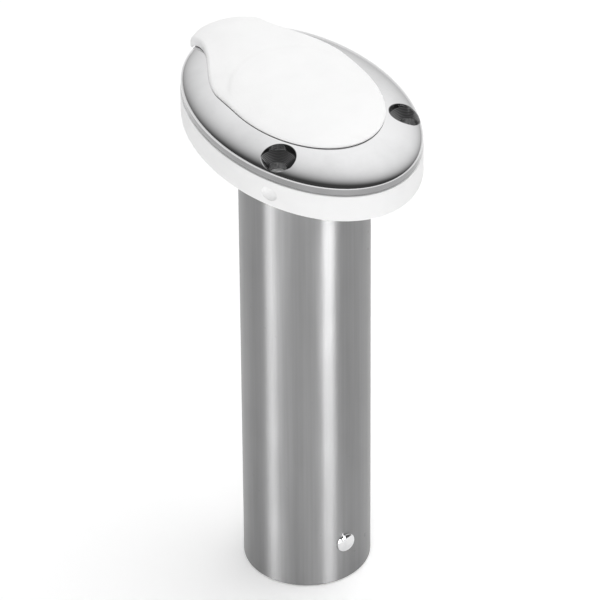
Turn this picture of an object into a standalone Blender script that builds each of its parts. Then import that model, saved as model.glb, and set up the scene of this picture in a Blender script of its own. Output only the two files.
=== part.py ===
"""Flush-mount rod holder: oval deck flange, welded tube, liner, gasket and strapped cap.

The tube's axis is Z. The origin is where that axis crosses the deck, which is the
underside of the gasket. The strap of the cap is at -X and its thumb notch at +X.
"""
import math

import bmesh
import bpy

# Tube
TUBE_RADIUS = 0.024
TUBE_WALL = 0.002
TUBE_REACH = 0.1847
TUBE_EDGE = 0.0006
# Cross pin near the foot, and the welds that close its ends
PIN_RADIUS = 0.0032
PIN_HEIGHT = 0.0171
PIN_TURN = math.radians(6.0)
PIN_WELD_RADIUS = 0.0039
PIN_WELD_RISE = 0.0014
PIN_WELD_ROOT = 0.0006
# Oval flange
FLANGE_HALF_LENGTH = 0.0573
FLANGE_HALF_WIDTH = 0.0372
FLANGE_SHIFT = -0.0021
FLANGE_WALL = 0.003
RIM_HEIGHT = 0.0026
DOME_RISE = 0.0084
SOCKET_DEPTH = 0.0045
COLLAR_WALL = 0.003
LIP_SINK = 0.0003
MOUTH_FLARE = 0.0012
# Three countersunk screw holes
SCREW_RADIUS = 0.0033
SCREW_SINK = 0.0065
SINK_LAND = 0.0008
SCREW_INSET = 0.0051
SCREW_ANGLES = (math.radians(56.5), math.radians(-56.5), math.radians(180.0))
BOSS_WALL = 0.0028
# Weld under the flange
WELD_LEG = 0.0026
# Gasket
GASKET_THICKNESS = 0.0110
GASKET_OVERHANG = 0.0002
GASKET_EDGE = 0.0008
EAR_RISE = 0.0012
DIMPLE_RADIUS = 0.0034
DIMPLE_FLATNESS = 0.8
DIMPLE_DEPTH = 0.0016
DIMPLE_ANGLE = math.radians(57.8)
# Liner inside the tube
LINER_WALL = 0.0015
LINER_LEAD = 0.0009
LINER_LIP_THICKNESS = 0.0013
LINER_LIP_RADIUS_STEP = 0.0018
LINER_ABOVE_PIN = 0.014
# Cap
CAP_SIDE_LAP = 0.0027
CAP_FRONT_LAP = 0.0132
CAP_OVAL_SHIFT = -0.003
CAP_TAPER_START = -0.015
CAP_TAPER_END_FROM_RIM = 0.0064
CAP_EDGE = 0.0015
CAP_CROWN = 0.0018
CAP_FULLNESS = 3.0
CAP_CLEARANCE = 0.0004
CAP_END_MARGIN = 0.0012
STRAP_HALF_WIDTH = 0.0137
STRAP_CORNER = 0.0065
STRAP_THICKNESS = 0.003
STRAP_GAP = 0.0007
PLUG_CLEARANCE = 0.0009
PLUG_WALL = 0.0020
PLUG_DEPTH = 0.0115
PLUG_RIB = 0.0004
PLUG_RIB_LEVELS = (0.50, 0.75)
NOTCH_RADIUS = 0.0085
NOTCH_STRETCH = (1.0, 1.15, 0.5)
NOTCH_AHEAD = 0.0026
NOTCH_RISE = 0.0046
# Hinge of the strap
HINGE_HALF_WIDTH = 0.0078
HINGE_THICKNESS = 0.0016
HINGE_LOW = 0.0004
HINGE_HIGH = 0.0026
# Fits
GAP = 0.0003
TUBE_FIT = 0.0003
# Facets
ROUND = 48
OVAL = 64
SMALL = 24
DOME_RINGS = 11
HOLLOW_RINGS = 6
ROOM_RINGS = 9
OUTLINE_STEPS = 10
CORNER_STEPS = 6
EDGE_STEPS = 4
BEAD_STEPS = 5
DIMPLE_FACETS = (16, 8)
NOTCH_FACETS = (20, 12)
SHARP_ANGLE = math.radians(32.0)
MERGE_DISTANCE = 1e-7

# Levels along Z
FLANGE_LEVEL = GASKET_THICKNESS + GAP
FOOT_LEVEL = -TUBE_REACH
PIN_LEVEL = FOOT_LEVEL + PIN_HEIGHT
TUBE_INNER = TUBE_RADIUS - TUBE_WALL
SOCKET_RADIUS = TUBE_RADIUS + TUBE_FIT
COLLAR_RADIUS = SOCKET_RADIUS + COLLAR_WALL
LINER_OUTER = TUBE_INNER - TUBE_FIT
LINER_INNER = LINER_OUTER - LINER_WALL
LIP_RADIUS = LINER_OUTER + LINER_LIP_RADIUS_STEP
LIP_RECESS = LIP_RADIUS + GAP
CAP_HALF_WIDTH = LIP_RECESS + CAP_SIDE_LAP
CAP_FRONT = LIP_RECESS + CAP_FRONT_LAP
RIM_END = FLANGE_SHIFT - FLANGE_HALF_LENGTH
STRAP_INNER = RIM_END - STRAP_GAP
STRAP_END = STRAP_INNER - STRAP_THICKNESS


def clear_scene():
    for item in list(bpy.data.objects):
        bpy.data.objects.remove(item, do_unlink=True)


def collection(name):
    group = bpy.data.collections.new(name)
    bpy.context.scene.collection.children.link(group)
    return group


def finish(name, colour, roughness, metallic):
    """One Principled material."""
    surface = bpy.data.materials.new(name)
    surface.use_nodes = True
    shader = surface.node_tree.nodes["Principled BSDF"]
    shader.inputs["Base Color"].default_value = (*colour, 1.0)
    shader.inputs["Roughness"].default_value = roughness
    shader.inputs["Metallic"].default_value = metallic
    return surface


def bake(source, name):
    """Turn an object and its modifiers into a plain mesh in world space."""
    bpy.context.view_layer.update()
    graph = bpy.context.evaluated_depsgraph_get()
    mesh = bpy.data.meshes.new_from_object(source.evaluated_get(graph))
    mesh.transform(source.matrix_world)
    body = bmesh.new()
    body.from_mesh(mesh)
    bmesh.ops.remove_doubles(body, verts=body.verts, dist=MERGE_DISTANCE)
    body.to_mesh(mesh)
    body.free()
    bpy.data.objects.remove(source, do_unlink=True)
    result = bpy.data.objects.new(name, mesh)
    bpy.context.scene.collection.objects.link(result)
    return result


def turned(name, profile, closed=False, steps=ROUND, stretch=(1.0, 1.0), centre=(0.0, 0.0, 0.0)):
    """Spin a profile of (radius, height) points about Z, then stretch it along X and Y."""
    edges = [(i, i + 1) for i in range(len(profile) - 1)]
    if closed:
        edges.append((len(profile) - 1, 0))
    mesh = bpy.data.meshes.new(name)
    mesh.from_pydata([(radius, 0.0, height) for radius, height in profile], edges, [])
    item = bpy.data.objects.new(name, mesh)
    bpy.context.scene.collection.objects.link(item)
    screw = item.modifiers.new("Turn", "SCREW")
    screw.steps = steps
    screw.render_steps = steps
    screw.use_merge_vertices = True
    screw.merge_threshold = 1e-6
    item.scale = (stretch[0], stretch[1], 1.0)
    item.location = centre
    return bake(item, name)


def cylinder(name, radius, low, high, x=0.0, y=0.0, steps=SMALL):
    bpy.ops.mesh.primitive_cylinder_add(
        vertices=steps, radius=radius, depth=high - low, location=(x, y, (low + high) / 2))
    item = bpy.context.object
    item.name = name
    return bake(item, name)


def box(name, low, high):
    bpy.ops.mesh.primitive_cube_add(size=1.0, location=[(a + b) / 2 for a, b in zip(low, high)])
    item = bpy.context.object
    item.scale = [b - a for a, b in zip(low, high)]
    return bake(item, name)


def prism(name, outline, low, high):
    """Extrude a flat outline in XY from one height to another."""
    curve = bpy.data.curves.new(name, "CURVE")
    curve.dimensions = "2D"
    curve.fill_mode = "BOTH"
    curve.extrude = (high - low) / 2
    spline = curve.splines.new("POLY")
    spline.points.add(len(outline) - 1)
    for point, (x, y) in zip(spline.points, outline):
        point.co = (x, y, 0.0, 1.0)
    spline.use_cyclic_u = True
    item = bpy.data.objects.new(name, curve)
    bpy.context.scene.collection.objects.link(item)
    item.location = (0.0, 0.0, (low + high) / 2)
    return bake(item, name)


def combine(target, tool, operation):
    """Boolean, with the tool removed afterwards."""
    step = target.modifiers.new(operation.title(), "BOOLEAN")
    step.operation = operation
    step.solver = "EXACT"
    step.object = tool
    result = bake(target, target.name + "_step")
    bpy.data.objects.remove(tool, do_unlink=True)
    return result


def cut(target, *tools):
    for tool in tools:
        target = combine(target, tool, "DIFFERENCE")
    return target


def join(target, *tools):
    for tool in tools:
        target = combine(target, tool, "UNION")
    return target


def keep(item, name, group, surface):
    """Name a finished sub-part, give it its material and put it in the part's collection."""
    item.name = name
    item.data.name = name
    item.data.materials.clear()
    item.data.materials.append(surface)
    item.data.shade_smooth()
    item.data.set_sharp_from_angle(angle=SHARP_ANGLE)
    for holder in list(item.users_collection):
        holder.objects.unlink(item)
    group.objects.link(item)
    return item


def arc(centre_x, centre_z, radius, start, end, count):
    """Points of an arc, angles in degrees from +X towards +Z."""
    points = []
    for i in range(count + 1):
        angle = math.radians(start + (end - start) * i / count)
        points.append((centre_x + radius * math.cos(angle), centre_z + radius * math.sin(angle)))
    return points


def dome_profile(rim, rise, power, rings, bottom):
    """Unit-radius dome on a straight rim, from its crown down to the axis at the bottom."""
    points = []
    for i in range(rings + 1):
        angle = math.pi / 2 * i / rings
        radius = math.sin(angle) ** (2 / power)
        height = rim + rise * max(math.cos(angle), 0.0) ** (2 / power)
        points.append((radius, height))
    points[0] = (0.0, rim + rise)
    points[-1] = (1.0, rim)
    return points + [(1.0, bottom), (0.0, bottom)]


def oval(name, rim, rise, half_length, half_width, rings, bottom, level, power=2.0, shift=FLANGE_SHIFT):
    profile = dome_profile(rim, rise, power, rings, bottom)
    return turned(name, profile, steps=OVAL, stretch=(half_length, half_width),
                  centre=(shift, 0.0, level))


def dome_height(x, y):
    """Height of the flange's dome above its underside."""
    share = ((x - FLANGE_SHIFT) / FLANGE_HALF_LENGTH) ** 2 + (y / FLANGE_HALF_WIDTH) ** 2
    return RIM_HEIGHT + DOME_RISE * math.sqrt(max(1.0 - share, 0.0))


def lip_floor():
    """Floor of the recess that holds the liner's lip just below the dome's lowest edge there."""
    return dome_height(0.0, LIP_RECESS) - LIP_SINK - LINER_LIP_THICKNESS - GAP


def screw_places():
    for angle in SCREW_ANGLES:
        x = FLANGE_SHIFT + (FLANGE_HALF_LENGTH - SCREW_INSET) * math.cos(angle)
        y = (FLANGE_HALF_WIDTH - SCREW_INSET) * math.sin(angle)
        yield x, y


def make_flange():
    """Domed oval casting, hollow below, with a tube socket, a lip recess and three bosses."""
    body = oval("flange_body", RIM_HEIGHT, DOME_RISE, FLANGE_HALF_LENGTH, FLANGE_HALF_WIDTH,
                DOME_RINGS, 0.0, FLANGE_LEVEL)
    reach = RIM_HEIGHT + DOME_RISE
    hollow = oval("flange_hollow", 0.0, reach - FLANGE_WALL, FLANGE_HALF_LENGTH - FLANGE_WALL,
                  FLANGE_HALF_WIDTH - FLANGE_WALL, HOLLOW_RINGS, -reach, FLANGE_LEVEL)
    top = FLANGE_LEVEL + 2 * reach
    low = FLANGE_LEVEL - 2 * reach
    hollow = cut(hollow, cylinder("collar", COLLAR_RADIUS, low, top, steps=ROUND))
    for x, y in screw_places():
        hollow = cut(hollow, cylinder("boss", SCREW_RADIUS + BOSS_WALL, low, top, x, y))
    body = cut(body, hollow)
    floor = FLANGE_LEVEL + lip_floor()
    rim = FLANGE_LEVEL + dome_height(0.0, LIP_RECESS)
    mouth = [(0.0, top), (LIP_RECESS + MOUTH_FLARE + top - rim, top),
             (LIP_RECESS, rim - MOUTH_FLARE), (LIP_RECESS, floor), (TUBE_INNER, floor),
             (TUBE_INNER, FLANGE_LEVEL + SOCKET_DEPTH), (SOCKET_RADIUS, FLANGE_LEVEL + SOCKET_DEPTH),
             (SOCKET_RADIUS, low), (0.0, low)]
    body = cut(body, turned("mouth", mouth))
    for x, y in screw_places():
        surface = FLANGE_LEVEL + dome_height(x, y)
        seat = surface - SINK_LAND
        screw = [(0.0, top), (SCREW_SINK, top), (SCREW_SINK, seat),
                 (SCREW_RADIUS, seat - SCREW_SINK + SCREW_RADIUS), (SCREW_RADIUS, low), (0.0, low)]
        body = cut(body, turned("screw_hole", screw, steps=SMALL, centre=(x, y, 0.0)))
    return body


def make_tube():
    """Straight tube with a softened foot, drilled across for the pin."""
    top = FLANGE_LEVEL + SOCKET_DEPTH - GAP
    outer = arc(TUBE_RADIUS - TUBE_EDGE, FOOT_LEVEL + TUBE_EDGE, TUBE_EDGE, 0, -90, EDGE_STEPS)
    inner = arc(TUBE_INNER + TUBE_EDGE, FOOT_LEVEL + TUBE_EDGE, TUBE_EDGE, -90, -180, EDGE_STEPS)
    profile = [(TUBE_RADIUS, top)] + outer + inner + [(TUBE_INNER, top)]
    tube = turned("tube_body", profile, closed=True, steps=OVAL)
    drill = cylinder("drill", PIN_RADIUS + GAP, -2 * TUBE_RADIUS, 2 * TUBE_RADIUS)
    lay_across(drill, 0.0)
    return cut(tube, drill)


def lay_across(item, reach):
    """Lay a piece made along Z across the tube, at the pin's height and turn."""
    item.rotation_euler = (0.0, math.pi / 2, PIN_TURN)
    item.location = (reach * math.cos(PIN_TURN), reach * math.sin(PIN_TURN), PIN_LEVEL)


def make_pin():
    """Rod that a gimbal butt drops onto."""
    half = TUBE_RADIUS - GAP
    pin = cylinder("pin_body", PIN_RADIUS, -half, half)
    lay_across(pin, 0.0)
    return bake(pin, "pin")


def make_pin_weld(side):
    """Polished dome over one end of the pin, on the tube's outer face."""
    points = []
    for i in range(EDGE_STEPS + 1):
        angle = math.pi / 2 * i / EDGE_STEPS
        points.append((PIN_WELD_RADIUS * math.sin(angle), PIN_WELD_RISE * math.cos(angle)))
    points[0] = (0.0, PIN_WELD_RISE)
    profile = points + [(PIN_WELD_RADIUS, -PIN_WELD_ROOT), (0.0, -PIN_WELD_ROOT)]
    dome = turned("pin_dome", profile, steps=SMALL)
    reach = TUBE_RADIUS + GAP
    dome.rotation_euler = (0.0, math.pi / 2 * side, PIN_TURN)
    dome.location = (side * reach * math.cos(PIN_TURN), side * reach * math.sin(PIN_TURN), PIN_LEVEL)
    dome = bake(dome, "pin_dome_placed")
    shaft = cylinder("tube_clear", reach, PIN_LEVEL - TUBE_RADIUS, PIN_LEVEL + TUBE_RADIUS, steps=OVAL)
    return cut(dome, shaft)


def make_tube_weld():
    """Fillet weld between the tube and the flange's underside."""
    top = FLANGE_LEVEL - GAP
    inner = TUBE_RADIUS + TUBE_FIT
    bead = arc(inner + WELD_LEG, top - WELD_LEG, WELD_LEG, 90, 180, BEAD_STEPS)
    profile = [(inner, top)] + bead
    return turned("weld_body", profile, closed=True)


def make_liner():
    """Plastic sleeve with a lip that sits in the flange's recess."""
    low = PIN_LEVEL + PIN_RADIUS + LINER_ABOVE_PIN
    seat = FLANGE_LEVEL + lip_floor() + GAP
    top = seat + LINER_LIP_THICKNESS
    profile = [(LINER_INNER + LINER_LEAD, top), (LIP_RADIUS, top), (LIP_RADIUS, seat), (LINER_OUTER, seat),
               (LINER_OUTER, low), (LINER_INNER, low), (LINER_INNER, top - LINER_LEAD)]
    return turned("liner_body", profile, closed=True)


def make_gasket():
    """Thick oval pad under the flange, with the ear that carries the strap's hinge."""
    length = FLANGE_HALF_LENGTH + GASKET_OVERHANG
    width = FLANGE_HALF_WIDTH + GASKET_OVERHANG
    body = turned("gasket_body", [(0.0, GASKET_THICKNESS), (1.0, GASKET_THICKNESS), (1.0, GASKET_EDGE),
                                  (1.0 - GASKET_EDGE / length, 0.0), (0.0, 0.0)],
                  steps=OVAL, stretch=(length, width), centre=(FLANGE_SHIFT, 0.0, 0.0))
    root = RIM_END + STRAP_THICKNESS
    shelf = GASKET_THICKNESS - GAP
    post_top = FLANGE_LEVEL + HINGE_LOW
    side = [(STRAP_END, EAR_RISE), (root, EAR_RISE), (root, shelf), (STRAP_INNER, shelf),
            (STRAP_INNER, post_top), (STRAP_END, post_top)]
    ear = prism("ear", side, -HINGE_HALF_WIDTH, HINGE_HALF_WIDTH)
    ear.rotation_euler = (math.pi / 2, 0.0, 0.0)
    body = join(body, bake(ear, "ear_upright"))
    weld_room = TUBE_RADIUS + TUBE_FIT + WELD_LEG + GAP
    weld_floor = GASKET_THICKNESS - WELD_LEG - GAP
    hole = [(0.0, 2 * GASKET_THICKNESS), (weld_room, 2 * GASKET_THICKNESS), (weld_room, weld_floor),
            (SOCKET_RADIUS, weld_floor - (weld_room - SOCKET_RADIUS)),
            (SOCKET_RADIUS, -GASKET_THICKNESS), (0.0, -GASKET_THICKNESS)]
    body = cut(body, turned("tube_hole", hole))
    for x, y in screw_places():
        body = cut(body, cylinder("screw_clear", SCREW_RADIUS + GAP, -GASKET_THICKNESS,
                                  2 * GASKET_THICKNESS, x, y))
    for side in (-1, 1):
        x = FLANGE_SHIFT + length * math.cos(DIMPLE_ANGLE)
        y = side * width * math.sin(DIMPLE_ANGLE)
        bpy.ops.mesh.primitive_uv_sphere_add(
            segments=DIMPLE_FACETS[0], ring_count=DIMPLE_FACETS[1], radius=1.0,
            location=(x, y, GASKET_THICKNESS / 2))
        dimple = bpy.context.object
        dimple.scale = (DIMPLE_DEPTH, DIMPLE_RADIUS, DIMPLE_RADIUS * DIMPLE_FLATNESS)
        dimple.rotation_euler = (0.0, 0.0, math.atan2(y / width ** 2, (x - FLANGE_SHIFT) / length ** 2))
        body = cut(body, bake(dimple, "dimple"))
    return body


def cap_outline():
    """Plan of the cap: an oval front that narrows to a strap with rounded corners."""
    taper_end = RIM_END + CAP_TAPER_END_FROM_RIM
    half = []
    for i in range(OUTLINE_STEPS + 1):
        angle = math.pi / 2 * i / OUTLINE_STEPS
        x = CAP_OVAL_SHIFT + (CAP_FRONT - CAP_OVAL_SHIFT) * math.cos(angle)
        half.append((x, CAP_HALF_WIDTH * math.sin(angle)))
    for i in range(OUTLINE_STEPS + 1):
        share = i / OUTLINE_STEPS
        blend = (1 + math.cos(math.pi * share)) / 2
        x = CAP_TAPER_START + (taper_end - CAP_TAPER_START) * share
        half.append((x, STRAP_HALF_WIDTH + (CAP_HALF_WIDTH - STRAP_HALF_WIDTH) * blend))
    half += arc(STRAP_END + STRAP_CORNER, STRAP_HALF_WIDTH - STRAP_CORNER, STRAP_CORNER, 90, 180,
                CORNER_STEPS)
    other = [(x, -y) for x, y in reversed(half[1:])]
    return half + other


def cap_envelope():
    """Rounded outer form of the cap, level with the strap's end and with the front edge."""
    low = FLANGE_LEVEL + HINGE_HIGH
    crown = FLANGE_LEVEL + RIM_HEIGHT + DOME_RISE + CAP_CROWN
    side = FLANGE_LEVEL + dome_height(0.0, CAP_HALF_WIDTH) + CAP_CLEARANCE + CAP_EDGE
    share = ((side - low) / (crown - low)) ** CAP_FULLNESS
    ratio = (1.0 - share) ** (1 / CAP_FULLNESS)
    back = STRAP_END - CAP_END_MARGIN
    half_length = (CAP_FRONT - back) / (1 + ratio)
    shift = back + half_length
    half_width = CAP_HALF_WIDTH / ratio
    return oval("cap_form", 0.0, crown - low, half_length, half_width, DOME_RINGS, -2 * DOME_RISE,
                low, CAP_FULLNESS, shift)


def make_cap():
    """Soft cap: a shell over the dome, a strap over the rim and a ribbed plug in the liner."""
    low = FLANGE_LEVEL + HINGE_HIGH
    crown = FLANGE_LEVEL + RIM_HEIGHT + DOME_RISE + CAP_CROWN
    body = prism("cap_plan", cap_outline(), low, crown + CAP_CROWN)
    body = combine(body, cap_envelope(), "INTERSECT")
    room = oval("cap_room", RIM_HEIGHT, DOME_RISE + CAP_CLEARANCE, FLANGE_HALF_LENGTH + STRAP_GAP,
                FLANGE_HALF_WIDTH + STRAP_GAP, ROOM_RINGS, -RIM_HEIGHT, FLANGE_LEVEL)
    body = cut(body, room)
    radius = LINER_INNER - PLUG_CLEARANCE
    top = crown - CAP_CROWN / 2
    bottom = top - PLUG_DEPTH
    profile = [(radius, top)]
    for level in PLUG_RIB_LEVELS:
        height = top - PLUG_DEPTH * level
        profile += [(radius, height + PLUG_RIB), (radius + PLUG_RIB, height), (radius, height - PLUG_RIB)]
    profile += [(radius, bottom + PLUG_RIB), (radius - PLUG_RIB, bottom),
                (radius - PLUG_WALL, bottom), (radius - PLUG_WALL, top)]
    body = join(body, turned("plug", profile, closed=True))
    front = FLANGE_LEVEL + dome_height(CAP_FRONT, 0.0) + CAP_CLEARANCE
    bpy.ops.mesh.primitive_uv_sphere_add(
        segments=NOTCH_FACETS[0], ring_count=NOTCH_FACETS[1], radius=NOTCH_RADIUS,
        location=(CAP_FRONT + NOTCH_AHEAD, 0.0, front + NOTCH_RISE))
    notch = bpy.context.object
    notch.scale = NOTCH_STRETCH
    return cut(body, bake(notch, "notch"))


def make_hinge():
    """Thin web of the same plastic between the gasket's ear and the strap."""
    return box("web", (STRAP_END + GAP, -HINGE_HALF_WIDTH + GAP, FLANGE_LEVEL + HINGE_LOW + GAP),
               (STRAP_END + GAP + HINGE_THICKNESS, HINGE_HALF_WIDTH - GAP,
                FLANGE_LEVEL + HINGE_HIGH - GAP))


def main():
    clear_scene()
    part = collection("rod_holder")
    polished = finish("polished_steel", (0.78, 0.78, 0.79), 0.06, 1.0)
    brushed = finish("brushed_steel", (0.60, 0.60, 0.60), 0.32, 1.0)
    weld = finish("weld_steel", (0.45, 0.44, 0.43), 0.45, 1.0)
    pin_steel = finish("pin_steel", (0.66, 0.66, 0.67), 0.22, 1.0)
    dome_steel = finish("pin_dome_steel", (0.80, 0.80, 0.81), 0.10, 1.0)
    pad = finish("white_gasket", (0.86, 0.86, 0.86), 0.50, 0.0)
    soft = finish("white_cap", (0.92, 0.92, 0.92), 0.46, 0.0)
    web = finish("white_web", (0.90, 0.90, 0.90), 0.50, 0.0)
    sleeve = finish("white_liner", (0.88, 0.88, 0.87), 0.40, 0.0)
    keep(make_flange(), "flange", part, polished)
    keep(make_tube(), "tube", part, brushed)
    keep(make_tube_weld(), "tube_weld", part, weld)
    keep(make_pin(), "gimbal_pin", part, pin_steel)
    keep(make_pin_weld(1), "pin_weld_front", part, dome_steel)
    keep(make_pin_weld(-1), "pin_weld_back", part, dome_steel)
    keep(make_liner(), "liner", part, sleeve)
    keep(make_gasket(), "gasket", part, pad)
    keep(make_hinge(), "strap_hinge", part, web)
    keep(make_cap(), "cap", part, soft)


main()
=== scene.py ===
"""Looks of a flush-mount rod holder: polished flange, satin tube, white cap, liner and gasket.

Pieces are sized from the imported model's own boxes and ride on its bodies. The tube's axis
is Z, the deck is at height 0, the cap's strap is at -X and its thumb notch at +X.
"""
import math

import bmesh
import bpy
import numpy as np
from bpy.props import FloatProperty, FloatVectorProperty, IntProperty, PointerProperty
from mathutils import Matrix, Vector


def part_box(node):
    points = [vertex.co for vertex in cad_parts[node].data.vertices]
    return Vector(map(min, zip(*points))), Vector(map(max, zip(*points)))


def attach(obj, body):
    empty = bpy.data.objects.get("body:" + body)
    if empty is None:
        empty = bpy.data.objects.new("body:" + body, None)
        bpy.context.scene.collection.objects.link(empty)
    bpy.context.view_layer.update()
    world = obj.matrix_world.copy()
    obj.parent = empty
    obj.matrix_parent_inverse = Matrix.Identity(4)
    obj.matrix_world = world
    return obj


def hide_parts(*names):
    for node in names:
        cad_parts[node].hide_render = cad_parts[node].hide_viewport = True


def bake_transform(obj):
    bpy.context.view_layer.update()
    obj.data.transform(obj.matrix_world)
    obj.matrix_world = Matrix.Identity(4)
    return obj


bl_info = {
    "name": "Flush-Mount Rod Holder",
    "version": (1, 0, 0),
    "blender": (4, 5, 0),
    "location": "View3D > Sidebar > Rod Holder",
    "description": "Builds the finished pieces of a flush-mount rod holder and its studio",
    "category": "Add Mesh",
}

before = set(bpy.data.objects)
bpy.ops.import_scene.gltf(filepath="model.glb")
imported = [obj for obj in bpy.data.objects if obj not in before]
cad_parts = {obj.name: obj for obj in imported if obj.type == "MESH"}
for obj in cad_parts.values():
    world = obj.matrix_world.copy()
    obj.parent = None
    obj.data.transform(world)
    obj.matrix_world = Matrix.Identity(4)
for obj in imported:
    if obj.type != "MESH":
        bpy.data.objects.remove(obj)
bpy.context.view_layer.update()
FLANGE_LOW, FLANGE_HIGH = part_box("flange")
TUBE_LOW, TUBE_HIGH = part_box("tube")
GASKET_LOW, GASKET_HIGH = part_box("gasket")
LINER_LOW, LINER_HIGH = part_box("liner")
PIN_LOW, PIN_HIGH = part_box("gimbal_pin")
WELD_LOW, WELD_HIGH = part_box("tube_weld")
KNOB_LOW, KNOB_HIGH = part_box("pin_weld_front")
WEB_LOW, WEB_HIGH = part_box("strap_hinge")
CAP_LOW, CAP_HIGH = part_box("cap")
FLANGE_CENTRE = (FLANGE_LOW.x + FLANGE_HIGH.x) / 2
HALF_LENGTH = (FLANGE_HIGH.x - FLANGE_LOW.x) / 2
HALF_WIDTH = (FLANGE_HIGH.y - FLANGE_LOW.y) / 2
MERGE = 1e-7
EAR_RISE = 0.0012
EAR_SHELF_DROP = 0.0014
EAR_ROUNDING = 0.0005
DIMPLE_FLATNESS = 0.8
PIN_END_ROOM = 0.0004
PIN_END_EDGE = 0.0003
KNOB_SKIRT = 0.0007
KNOB_CLEARANCE = 0.0001
LINER_EDGE = 0.0003
LINER_LEAD = 0.0009
CAP_FULLNESS = 3.0
CAP_END_MARGIN = 0.0012
PLUG_TOP_DROP = 0.0016
PLUG_ROOT_DROP = 0.0009
PLUG_RIB_LEVELS = (0.50, 0.75)
NOTCH_STRETCH = (1.0, 1.15, 0.5)
WEB_BITE = 0.0011
WEB_WAIST = 0.30
WEB_WAIST_HEIGHT = 0.0008
SURROUND_RADIUS = 1.7
SURROUND_CLEARANCE = 0.12
SURROUND_GLOW = 1.30
SURROUND_FLOOR = 0.06
SHARP = math.radians(34.0)
TURN = 2 * math.pi


def length(name, description, default):
    return FloatProperty(name=name, description=description, default=default, unit="LENGTH",
                         precision=5, min=0.0)


def angle(name, description, default):
    return FloatProperty(name=name, description=description, default=math.radians(default),
                         subtype="ANGLE")


def paint(name, description, default):
    return FloatVectorProperty(name=name, description=description, default=default, size=3,
                               min=0.0, max=1.0, subtype="COLOR")


class SteelSizes(bpy.types.PropertyGroup):
    """Sizes of the welded steel body."""
    facets: IntProperty(name="Facets", description="Facets round the flange", default=240, min=48)
    rim_height: length("Rim height", "Straight wall round the flange", 0.0026)
    dome_rise: length("Dome rise", "Dome above the straight wall", 0.0084)
    wall: length("Flange wall", "Thickness of the hollow casting", 0.003)
    rim_edge: length("Rim edge", "Rounding at the flange's lower edge", 0.00035)
    mouth_flare: length("Mouth flare", "Chamfer at the flange's mouth", 0.0012)
    lip_gap: length("Lip gap", "Room round the liner's lip", 0.0003)
    bore_radius: length("Bore radius", "Inner radius of the tube", 0.022)
    socket_depth: length("Socket depth", "Depth of the tube's socket in the flange", 0.0045)
    screw_radius: length("Screw radius", "Radius of the screw holes", 0.0033)
    sink_radius: length("Sink radius", "Outer radius of the countersinks", 0.0065)
    sink_land: length("Sink land", "Straight wall above each countersink's cone", 0.0008)
    screw_inset: length("Screw inset", "Screw holes inwards from the rim", 0.0051)
    screw_angle: angle("Screw angle", "Front screws either side of the long axis", 56.5)
    hole_edge: length("Hole edge", "Softened edge of each countersink", 0.00030)
    tube_edge: length("Tube edge", "Rounding at the tube's foot", 0.0006)
    pin_turn: angle("Pin turn", "Turn of the cross pin about the tube", 6.0)


class SoftSizes(bpy.types.PropertyGroup):
    """Sizes of the white moulded pieces."""
    front_lap: length("Front lap", "Cap in front of the flange's mouth", 0.0132)
    oval_shift: FloatProperty(name="Oval shift", description="Centre of the cap's front oval",
                              default=-0.003, unit="LENGTH", precision=5)
    taper_start: FloatProperty(name="Taper start", description="Where the cap starts to narrow",
                               default=-0.015, unit="LENGTH", precision=5)
    taper_rest: length("Taper rest", "Full-width end of the strap, inside the rim", 0.0064)
    strap_half: length("Strap half width", "Half width of the strap", 0.0137)
    strap_corner: length("Strap corner", "Corner radius of the strap", 0.0065)
    strap_wall: length("Strap wall", "Thickness of the strap beyond the rim", 0.003)
    strap_gap: length("Strap gap", "Room between the rim and the strap", 0.0007)
    cap_edge: length("Cap edge", "Thickness of the cap's edge", 0.0015)
    cap_gap: length("Cap gap", "Room under the cap", 0.00015)
    cap_low_round: length("Cap lower rounding", "Rounding of the cap's lower edge", 0.00015)
    cap_round: length("Cap rounding", "Rounding of the cap's upper edge", 0.0011)
    brim_drop: length("Brim drop", "Brim below the crown's own curve", 0.00042)
    brim_width: length("Brim width", "Width of the brim", 0.0068)
    root_step: length("Root step", "Step of the round crown above the strap", 0.00030)
    root_radius: length("Root radius", "Radius of the round crown", 0.0256)
    plug_gap: length("Plug gap", "Room between the plug and the liner", 0.0009)
    plug_wall: length("Plug wall", "Thickness of the plug", 0.002)
    plug_depth: length("Plug depth", "Depth of the plug", 0.0115)
    plug_rib: length("Plug rib", "Height of the plug's ribs", 0.0004)
    notch_radius: length("Notch radius", "Radius of the thumb notch", 0.0085)
    notch_ahead: length("Notch ahead", "Notch's centre in front of the cap", 0.0026)
    notch_rise: length("Notch rise", "Notch's centre above the cap's lower face", 0.0046)
    gasket_top_edge: length("Gasket top edge", "Rounding at the gasket's top", 0.0004)
    gasket_edge: length("Gasket edge", "Rounding at the gasket's underside", 0.0013)
    dimple_radius: length("Dimple radius", "Half width of the side dimples", 0.0034)
    dimple_depth: length("Dimple depth", "Depth of the side dimples", 0.0016)
    dimple_angle: angle("Dimple angle", "Place of the dimples round the gasket", 57.8)
    liner_wall: length("Liner wall", "Thickness of the liner", 0.0015)
    lip_step: length("Lip step", "Lip of the liner beyond its wall", 0.0018)
    lip_thickness: length("Lip thickness", "Thickness of the liner's lip", 0.0013)


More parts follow.
